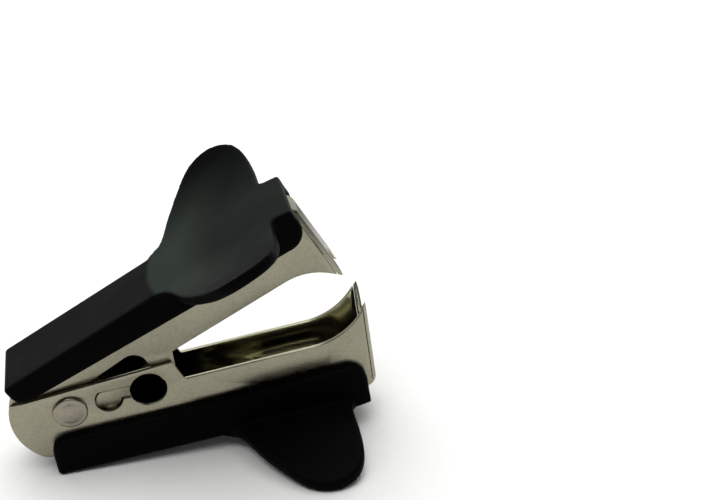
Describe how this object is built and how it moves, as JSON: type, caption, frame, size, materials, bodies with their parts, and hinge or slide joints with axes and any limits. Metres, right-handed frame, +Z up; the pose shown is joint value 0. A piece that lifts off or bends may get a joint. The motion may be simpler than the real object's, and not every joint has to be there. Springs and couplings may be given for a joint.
{
  "type": "staple remover",
  "caption": "Jaw-type staple remover: sprung, riveted steel jaws with fangs that close one inside the other, and plastic grips with finger wings.",
  "frame": {"origin": "centre of the footprint, on the surface the open remover stands on", "axes": "+X from the hinge towards the fangs, +Z up, XZ the plane both jaws are mirrored about"},
  "size_m": [0.0592, 0.0438, 0.0422],
  "materials": {
    "jaw_steel": "satin nickel plate",
    "rivet_steel": "satin nickel plate",
    "spring_wire": "drawn wire",
    "grip_plastic": "fine moulded grain"
  },
  "bodies": {
    "lower": {"lower_jaw": "jaw_steel", "lower_grip": "grip_plastic", "hinge_rivet": "rivet_steel", "torsion_spring": "spring_wire"},
    "upper": {"upper_jaw": "jaw_steel", "upper_grip": "grip_plastic"}
  },
  "joints": [
    {"name": "jaw_hinge", "type": "hinge", "parent": "lower", "child": "upper", "pos_m": [-0.02008, 0, 0.01065], "axis": [0, 1, 0], "range_deg": [0, 23], "stiffness_Nm_per_rad": 0.042, "springref_deg": -57.3, "deforming": ["torsion_spring"]}
  ]
}
